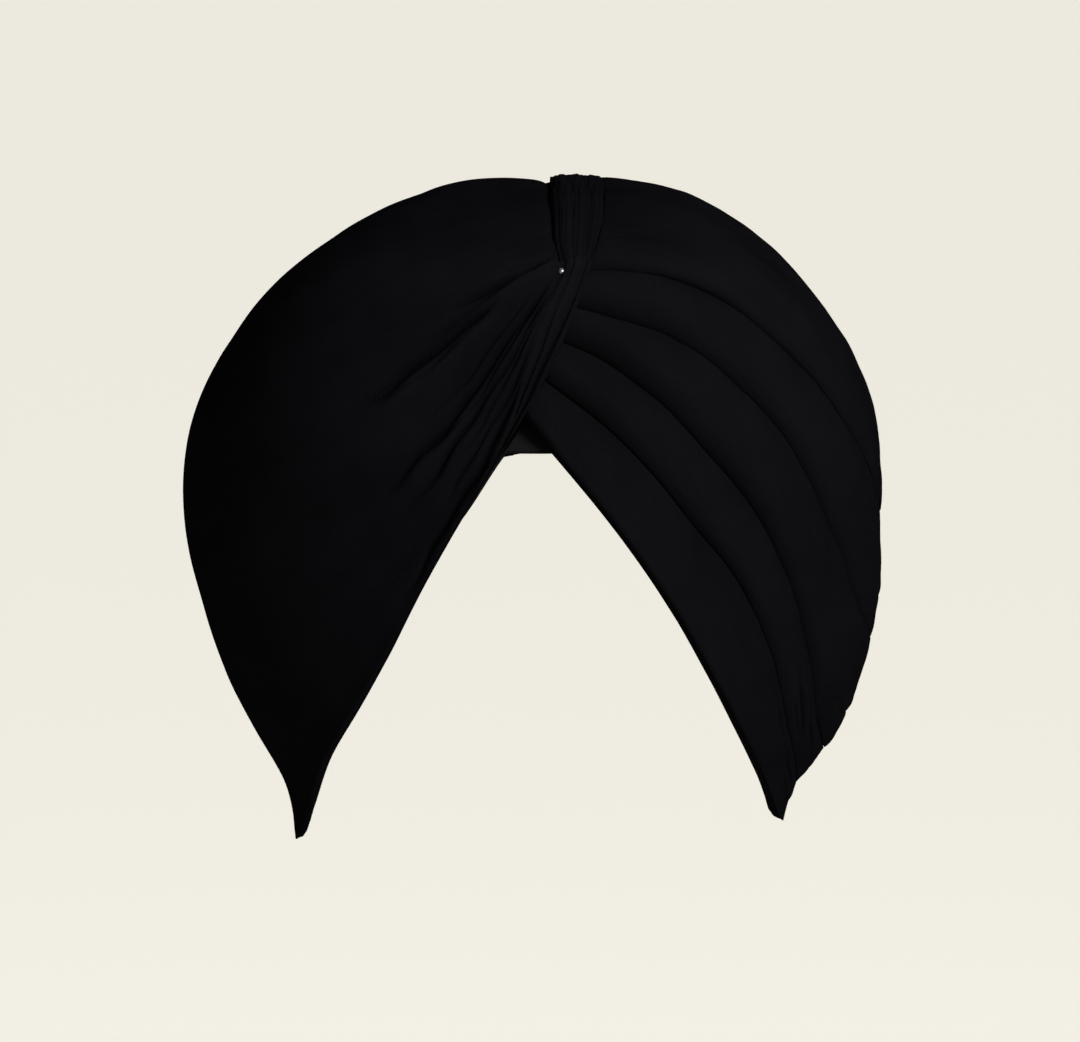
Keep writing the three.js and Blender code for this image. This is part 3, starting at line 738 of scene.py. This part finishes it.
# One wound piece: a fine outer surface, a rounded rim, and a plain surface against the head
def wound_piece(name, borders, alongs, acrosses, lips, relief, open_low=False, lap=0):
    outer, low, high, across = patch(borders, alongs, acrosses, 0, open_low, lap)
    radius = wrap_radius(outer)
    distance = {
        "low": angle_between(outer, low) * radius,
        "high": angle_between(outer, high) * radius,
        "start": angle_between(outer, outer[:1]) * radius,
        "end": angle_between(outer, outer[-1:]) * radius,
    }
    height = relief(outer, radius, distance, across)
    for border, away in distance.items():
        if border in lips:
            height = height - lip_rounding(away, *lips[border]) * fold_strength(outer)
    outside = point_at(outer, radius + height)
    inner = patch(borders, alongs, np.linspace(1, 0, INNER_ROWS), 1, open_low, lap)[0]
    inside = point_at(inner, head_radius(inner, wrap_clearance))
    parts = [outside, inside]
    if open_low:
        turn = np.linspace(0, 1, RIM_ROWS + 2)[1:-1]
        chord = lerp(inside[:, -1:], outside[:, :1], turn[None, :, None])
        down = unit(outside[:, :1] - outside[:, 3:4])
        proud = rim_radius * rim_swell * np.sin(np.pi * turn)
        proud = proud - rim_crinkle * np.abs(np.sin(3 * np.pi * turn))
        parts.append(chord + down * proud[None, :, None])
    loops = np.concatenate(parts, 1)
    step_u = np.linalg.norm(np.diff(loops, axis=0), axis=-1).mean(1)
    u = np.repeat(np.append(0, np.cumsum(step_u))[:, None], loops.shape[1], 1) / CLOTH_SCALE
    step_v = np.linalg.norm(np.diff(loops, axis=1), axis=-1)
    v = np.concatenate([np.zeros((len(loops), 1)), np.cumsum(step_v, 1)], 1) / CLOTH_SCALE
    # painted sheen and shade, with wear: the share of the lighter colour rises where the relief stands up
    # and falls in its hollows
    sheen_and_wear = np.zeros(loops.shape[:2])
    soft = height - np.median(height)
    sheen_and_wear[:, : outside.shape[1]] = np.clip(0.5 + soft / 3, 0, 1)
    return closed_mesh(name, loops, u, v, sheen_and_wear)


def eased(count, power):
    t = np.linspace(0, 1, count)
    return np.where(t < 0.5, 0.5 * (2 * t) ** power, 1 - 0.5 * (2 - 2 * t) ** power)


def left_layer(name, following, count):
    low = fold_border(name)
    high = band_left if following == "band" else fold_border(following)
    front = hem_border(front_hem_at, front_crossing[name], front_crossing[following], under_hem)
    back = hem_border(back_hem_at, back_crossing[name], back_crossing[following])
    ends = [np.array(0.0), np.array(1.0)]
    borders = {
        "low": low,
        "high": high,
        "start": pinned(front, lambda d: low(ends[0], d), lambda d: high(ends[0], d)),
        "end": pinned(back, lambda d: low(ends[1], d), lambda d: high(ends[1], d)),
    }
    seed = int(name[-1])

    def relief(way, radius, distance, across):
        points = point_at(way, radius)
        width = distance["low"] + distance["high"]
        azimuth = np.degrees(azimuth_of(way))
        azimuth = np.where(azimuth < -90, azimuth + 360, azimuth)
        proud = np.exp(-distance["low"] / (1.4 * lap_length))
        tucked = (0.3 if following == "band" else 1) * np.exp(-distance["high"] / lap_length)
        tucked = np.maximum(tucked, np.exp(-distance["start"] / lap_length))
        tucked = np.maximum(tucked, np.exp(-distance["end"] / lap_length))
        height = fold_step / 2 * (proud - tucked) * fold_strength(way)
        height += layer_belly * np.sin(np.pi * np.clip(across, 0, 1))
        gathered = 0.35 + 0.65 * np.exp(-distance["start"] / 45)
        gathered = gathered + 0.4 * np.exp(-((azimuth - 84) / 20) ** 2)
        wrinkles = drawn_wrinkles(distance["start"], distance["low"], seed, (7, 11, 17))
        height -= layer_wrinkle_depth * gathered * wrinkles
        height += 0.32 * waves(points, 42, 14, seed) + 0.10 * waves(points, 15, 16, seed + 20)
        return height + crease_relief(name, azimuth, across, radius, width)

    alongs = np.linspace(0, 1, LAYER_ROWS) ** FRONT_CROWDING
    acrosses = eased(count, EDGE_CROWDING)
    lips = {"low": layer_lips[name]}
    return wound_piece(name + "_cloth", borders, alongs, acrosses, lips, relief, name == "layer_1")


def right_wrap():
    back_foot = back_crossing["layer_1"]

    def low(share, depth):
        share = np.asarray(share, float)
        azimuth = lerp(back_hem_at(back_foot, depth) - 360, front_hem_at(front_foot, depth), share)
        outside = lerp(back_hem(back_foot) - 360, front_hem(front_foot), share)
        return at_level(azimuth, edge_level(outside))

    ends = [np.array(0.0), np.array(1.0)]
    back = hem_border(back_hem_at, back_foot, back_crossing["band"], 360)
    front = hem_border(front_hem_at, front_foot, front_crossing["band"])
    borders = {
        "low": low,
        "high": around_band,
        "start": pinned(back, lambda d: low(ends[0], d), lambda d: around_band(ends[0])),
        "end": pinned(front, lambda d: low(ends[1], d), lambda d: around_band(ends[1])),
    }

    def relief(way, radius, distance, across):
        points = point_at(way, radius)
        elevation = elevation_of(way)
        in_front = way[..., 1] < 0
        behind = way[..., 1] > 0
        from_hem = distance["end"]
        from_back_hem = distance["start"]
        height = fold_step / 2 * np.exp(-np.minimum(from_back_hem, from_hem) / lap_length)

        # groove beside the band
        from_foot = angle_between(way, band_foot()) * radius
        side_of_band = smooth(from_foot, *band_foot_reach)
        groove = band_groove_depth * np.exp(-distance["high"] / band_groove_width)
        groove = groove + band_shoulder_depth * np.exp(-distance["high"] / band_shoulder_width)
        height -= groove * side_of_band * (way[..., 0] < band_side)

        # gathers that leave the band and run down beside the hem
        gather_width = lerp(*gather_widths, smooth(elevation, *gather_elevations))
        gather = np.clip(from_hem / gather_width, 0, 1.2)
        sway = 0.12 * np.sin(elevation / 3.1)
        drawn = smooth(elevation, *gather_start) * (1 - smooth(gather, 0.85, 1.2)) * in_front
        drawn = drawn * (1 - side_of_band * smooth(elevation, *gather_stop))
        height += drawn * gather_depth * (gather_ribs(gather, sway) - gather_level)
        height += crossing_rise * (1 - side_of_band) * (1 - np.exp(-from_hem / lap_length))

        # the hems' creases, and the cushion of cloth beside the front one
        rib = hem_rib(elevation)
        height -= hem_crease_depth * np.exp(-np.abs(from_hem - rib) / hem_crease_width)
        height += hem_cushion * np.exp(-((from_hem - rib - hem_cushion_offset) / hem_cushion_width) ** 2)
        from_back_crease = np.abs(from_back_hem - back_crease_offset)
        height -= back_crease_depth * np.exp(-from_back_crease / back_crease_width)

        # the two fans, low unevenness and the pin's dimple
        front_pleats = fan_relief(way, radius, front_fan_centre, front_fan, 1)
        height += front_pleats * smooth(from_hem, 0.6 * rib, 1.5 * rib) * in_front
        back_pleats = fan_relief(way, radius, back_fan_centre, back_fan, -1)
        height += back_pleats * smooth(from_back_hem, 6, 12) * behind
        height += 0.40 * waves(points, 60, 14, 11) + 0.10 * waves(points, 18, 16, 12)
        from_pin = angle_between(way, pin_way()) * radius
        return height - dimple_depth * np.exp(-((from_pin / dimple_width) ** 2))

    # closer rows over the front, where the gathers are
    front_share = 0.56
    rear_rows = np.linspace(0, front_share, 111)[:-1]
    front_rows = lerp(front_share, 1, np.linspace(0, 1, 310) ** 0.9)
    alongs = np.concatenate([rear_rows, front_rows])
    acrosses = np.linspace(0, 1, 205)
    return wound_piece("right_wrap_cloth", borders, alongs, acrosses, right_wrap_lips, relief, True)


def crown_band():
    borders = {"low": band_left, "high": band_right, "start": band_end(0), "end": band_end(1)}

    def relief(way, radius, distance, across):
        points = point_at(way, radius)
        sway = 0.16 * np.sin(distance["start"] / 21) + 0.07 * np.sin(distance["start"] / 8 + 1)
        height = band_rib_depth * (gather_ribs(np.clip(across, 0, 1), sway) - band_rib_level)
        height += lerp(*band_heights, smooth(across, 0, 0.8)) + 0.12 * waves(points, 22, 14, 41)
        return height - band_foot_depth * np.exp(-distance["start"] / band_foot_width)

    alongs = lerp(band_start, 1, np.linspace(0, 1, 300) ** 1.2)
    acrosses = np.linspace(0, 1, 90)
    return wound_piece("crown_band_cloth", borders, alongs, acrosses, band_lips, relief, lap=band_lap)


# The under-turban: a close cap whose rim shows at the forehead
def under_turban():
    azimuth = np.linspace(-180, 180, 240, endpoint=False)
    rim_level = np.minimum(edge_level(azimuth), forehead_level)
    rise = cap_rise * smooth(np.abs(from_notch(azimuth)), *cap_rise_turns)
    rim = at_level(azimuth, rim_level + rise)
    pole = np.array([0.0, 0.0, 1.0])
    share = np.linspace(0, 0.999, 70)
    way = unit(slerp(rim[:, None], pole, share[None, :] + 0 * azimuth[:, None]))
    points = way * 100
    outer = point_at(way, head_radius(way, cap_thickness))
    creep = 0.25 * waves(points, 30, 12, 51) + 0.1 * waves(points, 11, 12, 52)
    inner = point_at(way, head_radius(way, 0.0) + 0.5 + creep)
    rows, count = outer.shape[:2]
    rim_turn = np.linspace(0, np.pi, 5)[1:-1]
    middle = (inner[:, :1] + outer[:, :1]) / 2
    half = (outer[:, :1] - inner[:, :1]) / 2
    down = unit(outer[:, :1] - outer[:, 1:2])
    bend = [middle - half * math.cos(t) + down * 0.9 * math.sin(t) for t in rim_turn]
    loops = np.concatenate([outer, inner[:, ::-1]] + bend, 1)
    total = loops.shape[1]
    i, j = np.meshgrid(np.arange(rows), np.arange(total), indexing="ij")
    after = (i + 1) % rows
    k = (j + 1) % total
    quads = np.stack([i * total + j, after * total + j, after * total + k, i * total + k], -1)
    quads = quads.reshape(-1, 4)
    mesh = bpy.data.meshes.new("under_turban_cloth")
    mesh.from_pydata((loops.reshape(-1, 3) * MM).tolist(), [], quads.tolist())
    mesh.polygons.foreach_set("use_smooth", [True] * len(quads))
    turn_scale = 9  # units of the cloth's texture for each radian round the cap
    u = np.repeat(np.radians(azimuth)[:, None] * turn_scale, total, 1).reshape(-1)
    step = np.linalg.norm(np.diff(loops, axis=1), axis=-1)
    v = np.concatenate([np.zeros((rows, 1)), np.cumsum(step, 1)], 1).reshape(-1) / CLOTH_SCALE
    lay_cloth(mesh, u, v)
    mesh.attributes.new("sheen_and_wear", "FLOAT", "POINT")
    return placed("under_turban_cloth", mesh)


# The pin: a ball head on a plain shaft
def pin_way():
    return towards(pin_azimuth, pin_elevation)


def pin():
    way = pin_way()
    foot = point_at(way[None], wrap_radius(way[None]))[0] - way * dimple_depth
    profile = [
        (0.0, -pin_length),
        (0.2 * pin_shaft_radius, 0.1 - pin_length),
        (pin_shaft_radius, pin_point_length - pin_length),
        (pin_shaft_radius, 0.0),
    ]
    for degrees in np.linspace(pin_neck_turn, 90, 20):
        turn = math.radians(degrees)
        out = pin_head_radius * math.cos(turn)
        profile.append((out, pin_head_radius * (math.sin(turn) + pin_head_rise)))
    count = pin_sides
    side = unit(np.cross(way, [0.0, 0.0, 1.0]))
    up = np.cross(side, way)
    points = []
    for out, along in profile:
        for k in range(count):
            turn = 2 * math.pi * k / count
            points.append((foot + way * along + (side * math.cos(turn) + up * math.sin(turn)) * out) * MM)
    faces = []
    for i in range(len(profile) - 1):
        for k in range(count):
            after = (k + 1) % count
            faces.append((i * count + k, i * count + after, (i + 1) * count + after, (i + 1) * count + k))
    mesh = bpy.data.meshes.new("pin_steel")
    mesh.from_pydata([tuple(p) for p in points], [], faces)
    mesh.polygons.foreach_set("use_smooth", [True] * len(faces))
    return placed("pin_steel", mesh)


# Materials
def nodes_of(material):
    material.use_nodes = True
    tree = material.node_tree
    return tree.nodes, tree.links, tree.nodes["Principled BSDF"]


def math_node(nodes, links, kind, first, second=None):
    node = nodes.new("ShaderNodeMath")
    node.operation = kind
    for socket, value in zip(node.inputs, (first, second)):
        if value is None:
            continue
        if isinstance(value, (int, float)):
            socket.default_value = value
        else:
            links.new(value, socket)
    return node.outputs[0]


def stretched_noise(nodes, links, source, scale, detail, size):
    mapping = nodes.new("ShaderNodeMapping")
    mapping.inputs["Scale"].default_value = scale
    links.new(source, mapping.inputs["Vector"])
    noise = nodes.new("ShaderNodeTexNoise")
    noise.inputs["Scale"].default_value = size
    noise.inputs["Detail"].default_value = detail
    links.new(mapping.outputs[0], noise.inputs["Vector"])
    return noise.outputs["Fac"]


def map_range(nodes, links, value, low, high, start=0.0):
    node = nodes.new("ShaderNodeMapRange")
    node.inputs["From Min"].default_value = start
    node.inputs["To Min"].default_value = low
    node.inputs["To Max"].default_value = high
    links.new(value, node.inputs["Value"])
    return node.outputs["Result"]


def mixed_colour(nodes, links, factor, first, second):
    node = nodes.new("ShaderNodeMix")
    node.data_type = "RGBA"
    links.new(factor, node.inputs["Factor"])
    for socket, colour in (("A", first), ("B", second)):
        if isinstance(colour, tuple):
            node.inputs[socket].default_value = (*colour, 1)
        else:
            links.new(colour, node.inputs[socket])
    return node.outputs["Result"]


def bump(nodes, links, height, strength, distance, over=None):
    node = nodes.new("ShaderNodeBump")
    node.inputs["Strength"].default_value = strength
    node.inputs["Distance"].default_value = distance
    links.new(height, node.inputs["Height"])
    if over is not None:
        links.new(over, node.inputs["Normal"])
    return node.outputs[0]


def cloth_material(name, dark, light, sheen_and_wear_colour, threads, crinkle):
    material = bpy.data.materials.new(name)
    nodes, links, shader = nodes_of(material)
    coordinates = nodes.new("ShaderNodeTexCoord")
    uv = coordinates.outputs["UV"]
    split = nodes.new("ShaderNodeSeparateXYZ")
    links.new(uv, split.inputs[0])

    # over and under of a plain weave, with uneven threads
    pace = 2 * math.pi * threads
    warp = math_node(nodes, links, "SINE", math_node(nodes, links, "MULTIPLY", split.outputs[0], pace))
    weft = math_node(nodes, links, "SINE", math_node(nodes, links, "MULTIPLY", split.outputs[1], pace))
    weave = math_node(nodes, links, "MULTIPLY", warp, weft)
    slub_warp = stretched_noise(nodes, links, uv, (0.6, 14, 1), 2, 1.6)
    slub_weft = stretched_noise(nodes, links, uv, (14, 0.6, 1), 2, 1.6)
    slubs = math_node(nodes, links, "ADD", slub_warp, slub_weft)
    folds = stretched_noise(nodes, links, uv, (0.5, 2.2, 1), 4, crinkle)

    # colour: uneven dye; lighter where the relief stands up and darker in its hollows, which is painted
    # sheen and painted shade as well as wear thinning the dye on the ridges
    patches = stretched_noise(nodes, links, uv, (0.25, 0.5, 1), 3, 1.3)
    uneven = math_node(nodes, links, "MULTIPLY", patches, slubs)
    dye = mixed_colour(nodes, links, uneven, dark, light)
    sheen_and_wear = nodes.new("ShaderNodeAttribute")
    sheen_and_wear.attribute_name = "sheen_and_wear"
    sheen_and_wear_mix = math_node(nodes, links, "MULTIPLY", sheen_and_wear.outputs["Fac"], 0.5)
    links.new(mixed_colour(nodes, links, sheen_and_wear_mix, dye, sheen_and_wear_colour), shader.inputs["Base Color"])

    # surface: matte, with fine folds, slubs and the weave one over the other
    links.new(map_range(nodes, links, slub_weft, 0.78, 0.95), shader.inputs["Roughness"])
    shader.inputs["Specular IOR Level"].default_value = 0.0
    bumps = bump(nodes, links, folds, 0.5, 0.0006)
    bumps = bump(nodes, links, slubs, 0.5, 0.00012, bumps)
    bumps = bump(nodes, links, weave, 0.45, 0.00006, bumps)
    links.new(bumps, shader.inputs["Normal"])
    return material


def steel_material():
    material = bpy.data.materials.new("pin_steel")
    nodes, links, shader = nodes_of(material)
    coordinates = nodes.new("ShaderNodeTexCoord")
    scratches = stretched_noise(nodes, links, coordinates.outputs["Object"], (1, 1, 6), 4, 900)
    links.new(map_range(nodes, links, scratches, 0.16, 0.34), shader.inputs["Roughness"])
    shader.inputs["Base Color"].default_value = (0.16, 0.16, 0.17, 1)
    shader.inputs["Metallic"].default_value = 1.0
    return material


voile = cloth_material(
    "black_voile",
    dark=(0.0010, 0.0010, 0.0012),
    light=(0.0020, 0.0020, 0.0025),
    sheen_and_wear_colour=(0.0026, 0.0026, 0.0032),
    threads=34,
    crinkle=2.4,
)
under = cloth_material(
    "under_cloth",
    dark=(0.0024, 0.0024, 0.0026),
    light=(0.0042, 0.0042, 0.0045),
    sheen_and_wear_colour=(0.0042, 0.0042, 0.0045),
    threads=22,
    crinkle=1.2,
)

# The pieces, each in place of its solid
left_layers = [
    # layer, what lies over it, columns of the mesh across it
    ("layer_1", "layer_2", 74),
    ("layer_2", "layer_3", 62),
    ("layer_3", "layer_4", 70),
    ("layer_4", "layer_5", 62),
    ("layer_5", "band", 110),
]
made = [(left_layer(name, over, count), name, voile, "black_voile") for name, over, count in left_layers]
made += [
    (right_wrap(), "right_wrap", voile, "black_voile"),
    (crown_band(), "crown_band", voile, "black_voile"),
    (under_turban(), "under_turban", under, "under_cloth"),
    (pin(), "pin", steel_material(), "pin_steel"),
]
for piece, node, material, slot_name in made:
    piece.data.materials.append(material)
    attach(piece, "root")
    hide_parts(node)

# Studio: a pale floor well below, and a soft pale room that is brighter on the wearer's left
floor_level = -1.2
floor_reach = 60
floor_corners = [(-1, -1), (1, -1), (1, 1), (-1, 1)]
floor_mesh = bpy.data.meshes.new("floor")
floor_points = [(x * floor_reach, y * floor_reach, floor_level) for x, y in floor_corners]
floor_mesh.from_pydata(floor_points, [], [(0, 1, 2, 3)])
floor = placed("floor", floor_mesh)
floor_material = bpy.data.materials.new("floor")
shader = nodes_of(floor_material)[2]
shader.inputs["Base Color"].default_value = (0.91, 0.875, 0.80, 1)
shader.inputs["Emission Color"].default_value = (1.0, 0.995, 0.895, 1)
shader.inputs["Emission Strength"].default_value = 0.25
shader.inputs["Roughness"].default_value = 1.0
shader.inputs["Specular IOR Level"].default_value = 0.0
floor_mesh.materials.append(floor_material)

scene = bpy.context.scene
scene.view_settings.view_transform = "Standard"
scene.view_settings.look = "None"
room_right_strength = 0.15
room_left_strength = 1.20
world = bpy.data.worlds.new("room")
scene.world = world
world.use_nodes = True
nodes = world.node_tree.nodes
links = world.node_tree.links
background = nodes["Background"]
background.inputs["Color"].default_value = (0.96, 0.955, 0.94, 1)
room = nodes.new("ShaderNodeTexCoord")
room_sides = nodes.new("ShaderNodeSeparateXYZ")
links.new(room.outputs["Generated"], room_sides.inputs[0])
side = room_sides.outputs["X"]
strength = map_range(nodes, links, side, room_right_strength, room_left_strength, start=-1.0)
links.new(strength, background.inputs["Strength"])

light_colour = (1.0, 0.99, 1.0)
light_aim = Vector((0, 0, -0.08))


def area_light(name, place, size, power):
    light = bpy.data.lights.new(name, "AREA")
    light.shape = "DISK"
    light.size = size
    light.energy = power
    light.color = light_colour
    holder = bpy.data.objects.new(name, light)
    scene.collection.objects.link(holder)
    holder.location = place
    holder.rotation_mode = "QUATERNION"
    holder.rotation_quaternion = (light_aim - Vector(place)).to_track_quat("-Z", "Y")


# One light in front, above and towards the wearer's left, and one behind
area_light("key", (0.62, -1.12, 0.60), size=0.45, power=53)
area_light("rear", (0.0, 1.6, 0.15), size=0.8, power=40)

# Camera at the photograph's angle, with a long lens
camera_lens = 165.05
camera_distance = 1.7
camera_tilt = math.radians(8)
camera_aim = Vector((0.00069, 0, -0.097))
camera_data = bpy.data.cameras.new("camera")
camera_data.lens = camera_lens
camera_data.sensor_width = 36
camera_data.clip_start = 0.05
camera_data.clip_end = 200
camera = bpy.data.objects.new("camera", camera_data)
scene.collection.objects.link(camera)
back_off = Vector((0, -math.cos(camera_tilt), math.sin(camera_tilt)))
camera.location = camera_aim + back_off * camera_distance
camera.rotation_mode = "QUATERNION"
camera.rotation_quaternion = (-back_off).to_track_quat("-Z", "Y")
scene.camera = camera

bpy.context.view_layer.update()
